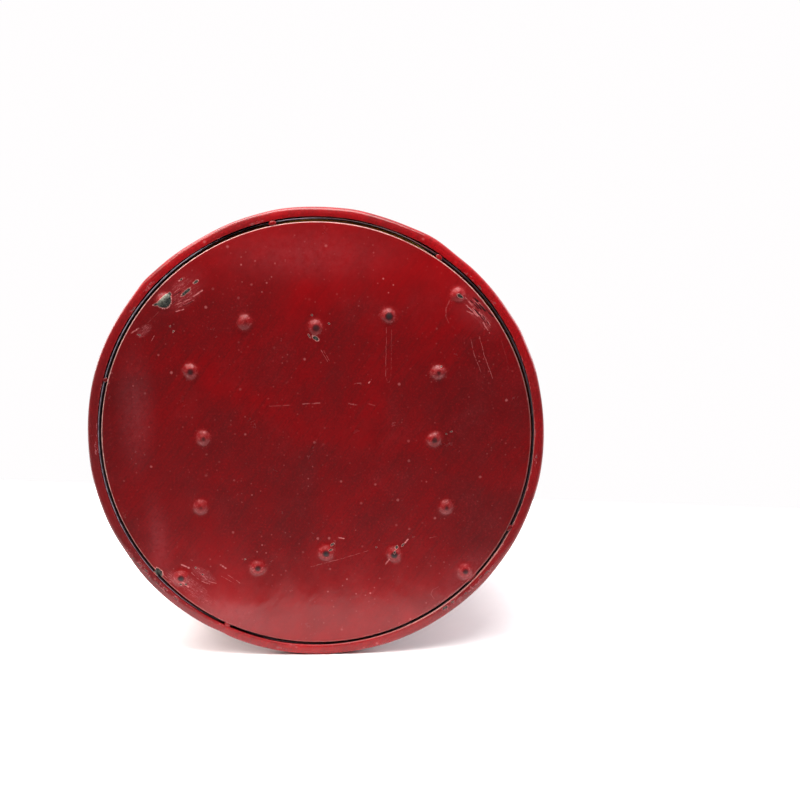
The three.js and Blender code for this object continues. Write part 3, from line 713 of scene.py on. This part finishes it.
def soften(loop, sizes, steps=4):
    """Rounds the corners of a closed section. sizes holds a corner's rounding in mm, or one for all."""
    if isinstance(sizes, (int, float)):
        sizes = [sizes] * len(loop)
    result = []
    for i, (corner, size) in enumerate(zip(loop, sizes)):
        here = Vector(corner)
        before = Vector(loop[i - 1]) - here
        after = Vector(loop[(i + 1) % len(loop)]) - here
        cut = min(size, 0.48 * before.length, 0.48 * after.length)
        if cut < 1e-4 or corner[0] < 1e-6:
            result.append(here)
            continue
        start, end = here + before.normalized() * cut, here + after.normalized() * cut
        for k in range(steps + 1):
            s = k / steps
            result.append(start * (1 - s) ** 2 + here * 2 * s * (1 - s) + end * s ** 2)
    return result


def turned(section, steps, place, shape=None):
    """Sweeps a closed section of (radius, along) round an axis. shape() may move each of its points."""
    verts, faces = [], []
    count = len(section)
    for i in range(steps):
        angle = 2 * math.pi * i / steps
        for radius, along in section:
            if shape:
                radius, along = shape(radius, along, angle)
            verts.append(place @ Vector((radius * math.sin(angle), along, radius * math.cos(angle))))
    for i in range(steps):
        j = (i + 1) % steps
        for k in range(count):
            m = (k + 1) % count
            if section[k][0] < 1e-6 and section[m][0] < 1e-6:
                continue
            faces.append((i * count + k, i * count + m, j * count + m, j * count + k))
    return verts, faces


def lofted(rings, place, closed_ends=True):
    """Joins rings of points, all with the same number, into a skin."""
    verts, faces = [], []
    count = len(rings[0])
    for ring in rings:
        verts += [place @ Vector(p) for p in ring]
    for i in range(len(rings) - 1):
        for k in range(count):
            m = (k + 1) % count
            faces.append((i * count + k, i * count + m, (i + 1) * count + m, (i + 1) * count + k))
    if closed_ends:
        faces.append(tuple(reversed(range(count))))
        faces.append(tuple(range((len(rings) - 1) * count, len(rings) * count)))
    return verts, faces


def merged(*shapes):
    verts, faces = [], []
    for more_verts, more_faces in shapes:
        start = len(verts)
        verts += more_verts
        faces += [tuple(start + i for i in face) for face in more_faces]
    return verts, faces


def clamped(value):
    return max(0.0, min(1.0, value))


def bump_at(angle, clock, width, height):
    """A smooth bump or dent in a rim, at a clock angle, in degrees."""
    off = (math.degrees(angle) - clock + 180) % 360 - 180
    return height * math.exp(-(off / width) ** 2)


def wander(angle, seed, slow=1.5, size=1.0):
    """Slow hand-made unevenness round a circle, from -size to size."""
    return size * noise.noise(Vector((slow * math.sin(angle), slow * math.cos(angle), seed * 7.3)))


def at_floor(angle):
    """1 where a hoop stands on the table, 0 elsewhere: it is true there, so that the drum still stands."""
    return clamped((-math.cos(angle) - 0.93) / 0.07)


# ---------------------------------------------------------------- bottom hoop

# clock angle, half width in degrees, height in mm
HOOP_DENTS = [
    (10, 4, 0.4), (30, 4.5, 0.9), (38, 3, -0.3), (62, 3, 0.5), (72, 4, 0.4), (207, 2.5, -0.6),
    (239, 5, -0.5), (262, 6, 0.4), (290, 12, 0.7), (250, 10, 0.3), (313, 3, 0.6), (352, 5, 0.4),
    (330, 8, -0.8), (100, 7, 0.35), (126, 6, -0.35),
]
# where the inner corner leans in over the slot, the same way
HOOP_LEANS = [(140, 46, 0.8), (100, 26, 0.6), (250, 30, 0.4)]


def hoop_shape(radius, depth, angle):
    out = wander(angle, 1, 2.2, 0.5) + sum(bump_at(angle, *dent) for dent in HOOP_DENTS)
    out *= 1 - at_floor(angle)
    inner = radius < HOOP_BORE + 1.4
    if inner:                                       # the slot is widest at the top
        out = 0.45 * out + 0.35 * math.cos(angle) - 0.05 + wander(angle, 2, 3, 0.25)
        out = max(out, -0.45)
        if depth > 9:                               # and closed at the back, against the shell
            out = 0.0
    sag = wander(angle, 3, 2.0, 0.25) + 0.4 * math.cos(angle - 0.4)
    if inner and depth < 0.6:                       # the inner corner is sharper at the top
        sharp = 0.65 + 0.35 * math.cos(angle - 2.3)
        radius, depth = HOOP_BORE + (radius - HOOP_BORE) * sharp, depth * sharp
    if inner and depth < 2:
        radius -= max(bump_at(angle, *lean) for lean in HOOP_LEANS)
    return radius + out, depth + sag * (1 if depth < 6 else 0.4)


hoop_section = soften(
    [(HOOP_BORE, 0.6), (153.6, 0.1), (155.6, 0.0), (158.2, 0.5), (159.6, 1.5), (HOOP_RIM, 3.4),
     (HOOP_RIM, 11.2), (159.0, 12.0), (154.2, 12.0), (152.6, 11.4), (152.6, 9.4), (HOOP_BORE, 8.6)],
    [0.3, 0.4, 1.4, 1.3, 1.0, 1.6, 0.7, 0.7, 0.5, 0.3, 0.2, 0.2], 5)
look("bottom_hoop", turned(hoop_section, ROUND_STEPS, DRUM, hoop_shape), HOOP_LACQUER, "drum")

# ---------------------------------------------------------------- bottom plate, rivets and welds

RIVET_PLACES = {}
for node in RIVETS:
    middle = centre_of(node)
    RIVET_PLACES[node] = (middle.x / MM, (middle.z - AXIS_Z) / MM)


def plate_height(x, z):
    """How far the sheet stands out of its plane, in mm: gentle buckles, and dips at the rivets."""
    p = Vector((x, z, 0))
    height = 0.55 * noise.noise(p / 75 + Vector((3.1, 0.7, 0)))
    height += 0.16 * noise.noise(p / 26 + Vector((0, 5.2, 1)))
    height += 0.05 * noise.noise(p / 9 + Vector((2, 2, 4)))
    for rx, rz in RIVET_PLACES.values():
        off = math.hypot(x - rx, z - rz)
        if off < 40:
            height -= 0.16 * math.exp(-(off / 13) ** 2)
    return height


def plate_shape(radius, depth, angle):
    x, z = radius * math.sin(angle), radius * math.cos(angle)
    out = 0.0
    if radius > 149:
        out = -0.3 * max(0.0, math.cos(angle)) + wander(angle, 4, 3, 0.22)
    return radius + out, depth - plate_height(x, z) * (1 if depth < 2 else 0.5)


plate_section = [Vector((r, 0.0)) for r in [0.0] + [2.0 + 2.45 * i for i in range(60)]]
plate_section += soften([(148.2, 0.0), (PLATE_RIM, 0.0), (PLATE_RIM, 8.0), (149.2, 8.0), (149.2, 1.3)],
                        [0, 1.2, 0.3, 0.3, 0.3], 7)
plate_section += [Vector((r, 1.3)) for r in [140, 110, 80, 50, 25, 8, 0]]
look("bottom_plate", turned(plate_section, 400, DRUM, plate_shape), PLATE_LACQUER, "drum")

# the dome of a rivet and the lacquer that has gathered round its foot: distance from its middle, height
DOME = [(0, 2.7), (0.8, 2.67), (1.6, 2.53), (2.3, 2.28), (3.0, 1.93), (3.7, 1.48), (4.25, 1.07), (4.75, 0.72),
        (5.2, 0.46), (5.8, 0.24), (6.6, 0.1), (7.6, 0.02), (8.8, -0.03), (8.8, -0.5), (0, -0.5)]
# how dark each rivet's tip has worn, and the radius in mm of the dark zone; the first is rubbed bare all over
TIPS = [(0, 0), (0.3, 2.6), (0.75, 3.4), (1.0, 3.5), (0.8, 2.8), (0.5, 2.6), (0.65, 3.0), (0.6, 2.6),
        (0.75, 3.0), (1.0, 3.2), (1.0, 3.2), (0.7, 2.8), (0.9, 3.0), (0.4, 2.6), (0.45, 2.6), (0.8, 3.0)]


def rivet(number, rx, rz):
    """A dome that leans a little, and how worn, sooty, bright and domed each of its points is; bright is a
    painted highlight at the top left of the bare dome and painted shade at its lower right.
    """
    darkness, dark_size = TIPS[number]
    lean = Vector((random.uniform(-0.35, 0.35), random.uniform(-0.35, 0.35)))
    squash = random.uniform(0.9, 1.02)
    rings = []
    wear = {"worn": [], "soot": [], "bright": [], "dome": []}
    steps = 48
    for reach, height in DOME:
        ring = []
        share = clamped(height / 2.85)
        for i in range(steps):
            angle = 2 * math.pi * i / steps
            uneven = 0.05 * math.sin(2 * angle + number) + 0.03 * math.sin(3 * angle + 2 * number)
            local = reach * (1 + uneven)
            across = local * math.sin(angle) + lean.x * share
            up = local * math.cos(angle) + lean.y * share
            rough = 1 + 0.05 * noise.noise(Vector((rx + across, rz + up, number)) * 0.8)
            out = plate_height(rx + across, rz + up) + (height * squash * rough if height > 0 else height)
            ring.append((rx + across, -out, rz + up))
            worn = bright = soot = 0.0
            if dark_size:
                off = math.hypot(across - 0.3, up + 0.4)
                soot = darkness * clamped((dark_size - off) / 2.4)
            else:                                    # bare steel, with a painted highlight at the top left and painted shade at the lower right
                still_red = clamped((up - across - 1.6) / 1.8)
                worn = clamped((height - 0.1) / 1.2) * (1 - still_red)
                bright = clamped(0.42 - across * 0.2 + up * 0.22) * (height > 0.5)
            domed = clamped(height / 0.9)
            for key, value in (("worn", worn), ("soot", soot), ("bright", bright), ("dome", domed)):
                wear[key].append(value)
        rings.append(ring)
    return lofted(rings, DRUM, closed_ends=False), wear


for number, (node, (rx, rz)) in enumerate(RIVET_PLACES.items()):
    shape, wear = rivet(number, rx, rz)
    look(node, shape, PLATE_LACQUER, "drum", 60, wear)


def weld(number):
    """A lump of lacquered bead, seen across the slot."""
    size = Vector((random.uniform(2.0, 2.7), 0.95, random.uniform(1.6, 1.9)))
    rings = []
    rows, columns = 12, 24
    for i in range(rows + 1):
        polar = math.pi * i / rows
        ring = []
        for k in range(columns):
            around = 2 * math.pi * k / columns
            wide = math.sin(polar)
            unit = Vector((wide * math.cos(around), -math.cos(polar), wide * math.sin(around)))
            lump = 1 + 0.22 * noise.noise(unit * 1.4 + Vector((number * 3.1, 0, 0)))
            ring.append(unit * size * lump + Vector((0, 0.75, 0)))
        rings.append(ring)
    return rings


for number, node in enumerate(WELDS):
    place = at_clock(from_axis(centre_of(node))[1], 151.7)
    look(node, lofted(weld(number), place, closed_ends=False), PLATE_LACQUER, "drum", 60)

# ---------------------------------------------------------------- shell

SEAM_CLOCK = math.radians(196)
# where the raw edge, cut by hand, lies deep in the slot: clock angle, half width in degrees, depth in mm
EDGE_DIPS = [(203, 9, 3.4), (340, 8, 2.4), (18, 16, 1.8), (8, 6, 1), (140, 46, 3.0), (100, 30, 2.4),
             (56, 16, 1.4)]


def shell_shape(radius, depth, angle):
    out = wander(angle, 5, 2.5, 0.25) * (1 if radius > 152 else 0.6)
    if radius > 152 and 14 < depth < 183:
        past_seam = ((angle - SEAM_CLOCK + math.pi) % (2 * math.pi) - math.pi) * SHELL_OUTSIDE
        if 0 < past_seam < 9:                       # the lap of the seam
            out += 0.45 * min(1.0, past_seam / 0.8)
        out += 0.2 * noise.noise(Vector((depth / 30, 2 * math.sin(angle), 2 * math.cos(angle))))
    if depth < 6:
        dip = max(bump_at(angle, *row) for row in EDGE_DIPS)
        depth += dip - 0.7 - bump_at(angle, 302, 34, 0.75) + 0.2 * wander(angle, 6, 12)
    return radius + out, depth


BEAD_DEPTH = 75.0
outside = [(SHELL_OUTSIDE, depth) for depth in [1.6, 8, 13.9, 14.1] + [20 + 8 * i for i in range(6)]]
outside += [(SHELL_OUTSIDE + BEAD_HEIGHT * math.cos(math.pi / 2 * s / 8) ** 2, BEAD_DEPTH + 4.6 * s / 8)
            for s in range(-8, 9)]
outside += [(SHELL_OUTSIDE, depth) for depth in [90 + 9 * i for i in range(11)] + [182.9, 183.1, 195.8]]
bead_inside = SHELL_INSIDE + 1.4
inside = [(152.0, 196.2), (SHELL_INSIDE, 195.8), (SHELL_INSIDE, 150), (SHELL_INSIDE, 80), (bead_inside, 76.2),
          (bead_inside, 73.8), (SHELL_INSIDE, 70), (SHELL_INSIDE, 12), (SHELL_INSIDE, 1.6)]
shell_section = [Vector(p) for p in outside + inside]
shell = look("shell", turned(shell_section, ROUND_STEPS, DRUM, shell_shape), SHELL_LACQUER, "drum")
shell.data.materials.append(RAW_EDGE)
for face in shell.data.polygons:
    if depth_of(face.center.y) < 6.5 and from_axis(face.center)[0] / MM < SHELL_OUTSIDE - 0.05:
        face.material_index = 1

# ---------------------------------------------------------------- playing head


def skin_shape(radius, depth, angle):
    x, z = radius * math.sin(angle), radius * math.cos(angle)
    if radius < 150:
        depth += 0.18 * noise.noise(Vector((x / 45, z / 45, 9)))
        depth += 0.05 * noise.noise(Vector((x / 9, z / 9, 2)))
    elif depth < 196:                               # the collar is pleated, and its hem wanders
        pleat = 0.09 * math.sin(angle * 90 + 3 * math.sin(7 * angle)) + wander(angle, 8, 20, 0.1) - 0.1
        radius += pleat if radius > 153 else 0
        depth += wander(angle, 9, 14, 0.8) if depth < 190 else 0
    return radius, depth


SKIN_UNDER = SKIN_TOP - 0.5
skin_section = [Vector((r, SKIN_TOP)) for r in [0.0] + [3.0 + 4.1 * i for i in range(36)]]
skin_section += soften([(153.4, SKIN_TOP), (153.4, 187.2), (152.8, 187.2), (152.8, SKIN_UNDER)],
                       [0.9, 0.2, 0.2, 0.2], 4)
skin_section += [Vector((r, SKIN_UNDER)) for r in (120, 60, 0)]
look("drumhead_skin", turned(skin_section, ROUND_STEPS, DRUM, skin_shape), CALFSKIN, "drum")

flesh_section = soften([(153.7, 184.6), (155.3, 184.6), (155.3, 189.9), (153.7, 189.9)], 0.5, 4)
look("flesh_hoop", turned(flesh_section, 300, DRUM), STEEL, "head_hoops")

COUNTER_BORE = 153.7
FLANGE_RIM = 160.0
EAR_RADIUS = 4.0
EAR_CLOCKS = sorted(ROD_CLOCKS.values())


def counter_shape(radius, depth, angle):
    """The flange grows into an ear round each rod."""
    if radius > 158 and depth < 192.6:
        for clock in EAR_CLOCKS:
            off = (angle - clock + math.pi) % (2 * math.pi) - math.pi
            across = abs(ROD_CIRCLE * math.sin(off))
            if abs(off) < 0.1 and across < EAR_RADIUS:
                ear = ROD_CIRCLE - 0.8 + math.sqrt(EAR_RADIUS ** 2 - across ** 2)
                radius += max(0.0, ear - FLANGE_RIM)
    out = wander(angle, 11, 2.5, 0.3) * (1 - at_floor(angle))
    if radius < COUNTER_BORE + 0.6:                 # the bore stays clear of the skin's collar
        out = max(0.0, out)
    return radius + (out if radius < 157.5 else 0.4 * out), depth + wander(angle, 12, 2, 0.2)


counter_section = soften(
    [(COUNTER_BORE, 190.3), (FLANGE_RIM, 190.3), (FLANGE_RIM, 192.1), (154.9, 192.1), (154.9, 203.2),
     (156.6, 203.2), (156.6, 205.0), (COUNTER_BORE, 205.0)],
    [0.4, 0.8, 0.8, 0.9, 0.7, 0.8, 0.8, 0.9], 5)
counter = look("counter_hoop", turned(counter_section, 720, DRUM, counter_shape), COUNTER_LACQUER,
               "head_hoops", 50)

ROD_HOLE = 2.95
drills = []
for number, clock in enumerate(EAR_CLOCKS):
    drill_section = [Vector(p) for p in [(0, 186), (ROD_HOLE, 186), (ROD_HOLE, 196), (0, 196)]]
    drills.append(piece(f"drill_{number + 1}", turned(drill_section, 32, at_clock(clock, ROD_CIRCLE)), STEEL,
                        "head_hoops"))
cutters = bpy.data.collections.new("drills")
for drill in drills:
    cutters.objects.link(drill)
cut = counter.modifiers.new("rod_holes", "BOOLEAN")
cut.operation = "DIFFERENCE"
cut.solver = "EXACT"
cut.operand_type = "COLLECTION"
cut.collection = cutters
graph = bpy.context.evaluated_depsgraph_get()
drilled = bpy.data.meshes.new_from_object(counter.evaluated_get(graph), depsgraph=graph)
counter.modifiers.clear()
counter.data = drilled
counter.data.set_sharp_from_angle(angle=math.radians(38))
for drill in drills:
    bpy.data.objects.remove(drill)

# ---------------------------------------------------------------- tension hardware


def threaded(place, start, end, radius, pitch=0.8, cut=0.42):
    """A rod with a real right-handed thread, from start to end along its axis."""
    around, per_pitch = 20, 6
    rows = int((end - start) / pitch * per_pitch)
    rings = []
    for i in range(rows + 1):
        along = start + (end - start) * i / rows
        fade = min(1.0, (along - start) / 1.2 + 0.1, (end - along) / 1.2)
        ring = []
        for k in range(around):
            angle = 2 * math.pi * k / around
            wave = 0.5 - 0.5 * math.cos(2 * math.pi * (along / pitch - k / around))
            r = radius - cut * (1 - wave) * max(0.0, fade) - (0.5 if i == 0 else 0)
            ring.append((r * math.sin(angle), along, r * math.cos(angle)))
        rings.append(ring)
    return lofted(rings, place)


def rounded_square(across, corner, along, steps=5):
    """A square outline with rounded corners, across a part's axis."""
    half = across / 2 - corner
    ring = []
    for quarter in range(4):
        turn = math.pi / 2 * quarter
        cx, cz = half * (1, -1, -1, 1)[quarter], half * (1, 1, -1, -1)[quarter]
        for k in range(steps + 1):
            a = turn + math.pi / 2 * k / steps
            ring.append((cx + corner * math.cos(a), along, cz + corner * math.sin(a)))
    return ring


def rod_shape(place, tip, top):
    """A square-headed rod with a collar under its head and a thread at its other end."""
    collar = top - 7.2
    thread = threaded(place, tip, collar - 8, 2.5)
    shank = turned(soften([(0, collar - 8.5), (2.3, collar - 8.5), (2.3, collar + 0.2), (0, collar + 0.2)],
                          [0, 0.2, 0.1, 0], 3), 32, place)
    flange = turned(soften([(0, collar), (3.9, collar), (3.9, collar + 1.2), (2.6, collar + 1.9),
                            (0, collar + 1.9)], [0, 0.35, 0.45, 0.4, 0], 4), 40, place)
    head = [rounded_square(across, corner, along) for across, corner, along in (
        (4.9, 1.0, collar + 1.0), (5.8, 0.55, collar + 1.7), (5.8, 0.5, top - 0.7), (5.55, 0.7, top - 0.35),
        (4.9, 1.2, top - 0.08), (3.2, 1.3, top))]
    return merged(thread, shank, flange, lofted(head, place))


LUG_DEPTH = 150.0                                  # the middle of the lugs
# a lug's foot: radius from the drum's axis, and how much wider it is than at the shell
LUG_FOOT = [(152.75, 0.0), (153.9, 0.0), (154.3, -0.5), (155.6, -1.0), (157.0, -2.0), (157.6, -3.2)]


def rounded(share, power=0.45):
    """Squares off a circle's sine or cosine."""
    return math.copysign(abs(share) ** power, share)


def lug_shape(place, clock):
    """A turned tube with beaded ends, on a foot with rounded ends."""
    tube_section = soften(
        [(ROD_HOLE, 132.0), (3.7, 132.0), (3.85, 133.4), (3.55, 135.2), (3.55, 164.8), (3.85, 166.6),
         (3.7, 168.0), (ROD_HOLE, 168.0)], [0.25, 0.5, 0.9, 0.8, 0.8, 0.9, 0.5, 0.25], 4)
    foot = []
    for radius, grow in LUG_FOOT:
        half_width, half_length = 4.5 + grow * 0.55, 12 + grow
        ring = []
        for k in range(40):
            a = 2 * math.pi * k / 40
            along = LUG_DEPTH + half_length * rounded(math.sin(a))
            ring.append((half_width * rounded(math.cos(a)), along, radius))
        foot.append(ring)
    return merged(turned(tube_section, 40, place), lofted(foot, at_clock(clock)))


WASHER_SECTION = soften([(ROD_HOLE, 192.4), (3.9, 192.4), (3.9, 193.4), (ROD_HOLE, 193.4)], 0.28, 4)
SCREW_SECTION = soften(
    [(0, 149.0), (1.6, 149.05), (3.0, 149.7), (3.6, 150.6), (3.6, 151.2), (1.7, 151.2), (1.7, 155.8),
     (0, 155.8)], [0, 0.4, 0.6, 0.3, 0.2, 0.1, 0.2, 0], 3)

for node in RODS:
    number = node.rsplit("_", 1)[1]
    clock = ROD_CLOCKS[node]
    place = at_clock(clock, ROD_CIRCLE)
    low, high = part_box(node)
    rod = rod_shape(place, depth_of(low.y), depth_of(high.y))
    look(node, rod, NICKEL, f"tension_rod_{number}", 40)
    look(f"rod_washer_{number}", turned(WASHER_SECTION, 40, place), NICKEL, "head_hoops", 45)
    look(f"lug_{number}", lug_shape(place, clock), NICKEL, "drum", 45)
    screw = turned(SCREW_SECTION, 32, radial_at(clock, LUG_DEPTH))
    look(f"lug_screw_{number}", screw, STEEL, "drum", 45)

# ---------------------------------------------------------------- air hole and stiffener

grommet = centre_of("vent_grommet")
eyelet = soften([(3.6, 150.4), (6.2, 150.4), (6.2, 151.2), (4.6, 151.2), (4.6, 152.8), (6.2, 152.8),
                 (6.0, 153.5), (3.6, 153.6)], [0.5, 0.3, 0.3, 0.2, 0.2, 0.3, 0.5, 0.8], 4)
look("vent_grommet", turned(eyelet, 48, radial_at(from_axis(grommet)[1], depth_of(grommet.y))), BRASS, "drum")

# the strip behind the plate is hidden inside the drum: it keeps its own shape, with softened edges
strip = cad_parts["stiffener_frame"]
strip.data.materials.clear()
strip.data.materials.append(STEEL)
softened = strip.modifiers.new("softened_edges", "BEVEL")
softened.width = 0.5 * MM
softened.segments = 2
softened.limit_method = "ANGLE"

# ---------------------------------------------------------------- table, lamps, surroundings and camera

PAPER_TINT = (0.93, 0.925, 0.925)


def paper():
    t = Material("white_paper")
    fibre = t.noise(t.position(), 60, 5, 0.6)
    colour = t.mix(t.remap(fibre, 0.3, 0.7), PAPER_TINT, tuple(c * 0.985 for c in PAPER_TINT))
    return t.finish(Base_Color=colour, Roughness=0.85, Normal=t.bump(fibre, 0.05, 0.0005))


def slab(name, corners, material):
    mesh = bpy.data.meshes.new(name)
    mesh.from_pydata([(x, y, 0) for x, y in corners], [], [tuple(range(len(corners)))])
    mesh.materials.append(material)
    made = bpy.data.objects.new(name, mesh)
    bpy.context.scene.collection.objects.link(made)
    return made


PAPER = paper()
HALF_TABLE = 2.2
TABLE_NEAR = FACE_Y - 0.11
TABLE_FRONT = FACE_Y - 0.26
slab("table", [(-HALF_TABLE, TABLE_NEAR), (HALF_TABLE, TABLE_NEAR), (HALF_TABLE, -0.02),
               (-HALF_TABLE, 0.78)], PAPER)
# the front of the table is flagged off, so that the drum's face doesn't mirror it
front = slab("table_front", [(-HALF_TABLE, TABLE_FRONT), (HALF_TABLE, TABLE_FRONT), (HALF_TABLE, TABLE_NEAR),
                             (-HALF_TABLE, TABLE_NEAR)], PAPER)
front.visible_glossy = False


def lamp(name, place, aim, size, power, tint):
    light = bpy.data.lights.new(name, "AREA")
    light.shape = "RECTANGLE"
    light.size, light.size_y = size
    light.energy = power
    light.color = tint
    made = bpy.data.objects.new(name, light)
    made.location = place
    made.rotation_mode = "QUATERNION"
    made.rotation_quaternion = (Vector(aim) - Vector(place)).to_track_quat("-Z", "Y")
    made.visible_camera = False
    bpy.context.scene.collection.objects.link(made)


MIDDLE = (0, 0, AXIS_Z)
lamp("overhead", (-0.15, -0.28, 0.95), (0, -0.05, 0.1), (1.2, 0.4), 20, (1.0, 0.985, 0.97))
lamp("key_left", (-0.8, -0.75, 1.05), MIDDLE, (0.4, 0.5), 6, (1.0, 0.92, 0.86))
lamp("side_right", (1.2, -0.35, 0.6), MIDDLE, (0.4, 0.7), 3, (0.93, 0.9, 1.0))
# these stand behind the drum's face and only lift the shadows beside it
lamp("fill_left", (-1.1, 0.3, 0.5), (-0.1, -0.08, 0), (0.5, 0.5), 11, (1.0, 0.96, 0.93))
lamp("fill_right", (1.1, 0.3, 0.5), (0.1, -0.08, 0), (0.5, 0.5), 8.5, (0.97, 0.97, 1.0))

world = bpy.data.worlds.new("studio")
bpy.context.scene.world = world
world.use_nodes = True
sky = Nodes(world.node_tree)
direction = sky.outputs("ShaderNodeSeparateXYZ", {0: sky.node("ShaderNodeTexCoord", output="Generated")})
# dark in front of the drum's face, bright behind it and overhead
behind = sky.remap(direction["Y"], -0.45, 0.5, 0.01, 1.0)
above = sky.remap(direction["Z"], 0.4, 1.0, 0.0, 0.9)
# whatever lies behind the drum, it is seen against white
is_seen = sky.node("ShaderNodeLightPath", output="Is Camera Ray")
strength = sky.node("ShaderNodeMix", {0: is_seen, 2: sky.math("ADD", behind, above), 3: 1.0})
background = sky.nodes["Background"]
sky.put(strength, background.inputs["Strength"])
sky.put((1.0, 0.985, 0.99), background.inputs["Color"])

camera_data = bpy.data.cameras.new("camera")
camera_data.sensor_width = 36
camera_data.lens = 50.53
camera_data.shift_x = -0.0009
camera_data.clip_start = 0.02
camera_data.clip_end = 50
camera = bpy.data.objects.new("camera", camera_data)
camera.location = (0.0321, FACE_Y - 0.7735, 0.3148)
yaw, pitch = math.radians(1.94), math.radians(9.39)
ahead = Vector((math.sin(yaw) * math.cos(pitch), math.cos(yaw) * math.cos(pitch), -math.sin(pitch)))
camera.rotation_mode = "QUATERNION"
camera.rotation_quaternion = ahead.to_track_quat("-Z", "Y")
bpy.context.scene.collection.objects.link(camera)
bpy.context.scene.camera = camera
bpy.context.scene.view_settings.view_transform = "Standard"
